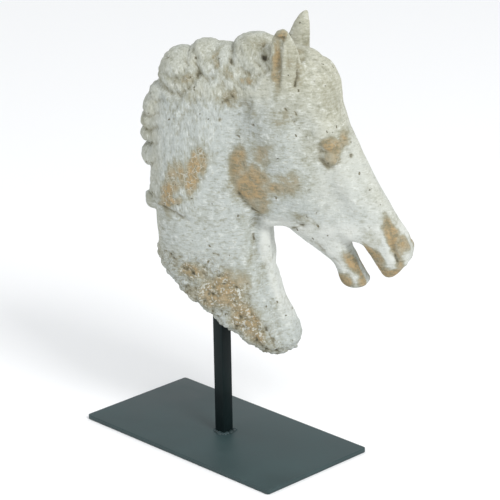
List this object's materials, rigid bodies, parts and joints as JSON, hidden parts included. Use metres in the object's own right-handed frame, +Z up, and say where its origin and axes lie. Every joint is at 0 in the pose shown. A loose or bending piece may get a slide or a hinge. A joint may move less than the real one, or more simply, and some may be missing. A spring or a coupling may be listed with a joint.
{
  "type": "horse head sculpture",
  "caption": "Cast horse head and neck in a whitewashed driftwood finish, with a curled mane and a broken neck edge, held on a square steel rod over a flat steel plate.",
  "frame": {"origin": "centre of the plate's underside", "axes": "+Z up along the rod, +X along the plate's long side, towards the end that the nose points over; the head is turned 30 degrees from +X towards +Y"},
  "size_m": [0.2583, 0.1497, 0.3727],
  "materials": {
    "base_plate": "satin grey-green paint on steel, rubbed dark at the edges",
    "stand_rod": "satin near-black paint on steel",
    "weld_bead": "uneven weld under satin near-black paint",
    "horse_head": "cast body, matt whitewash rubbed through to tan, pitted and grained like driftwood"
  },
  "bodies": {
    "root": {"base_plate": "base_plate", "stand_rod": "stand_rod", "weld_bead": "weld_bead", "horse_head": "horse_head"}
  },
  "joints": []
}
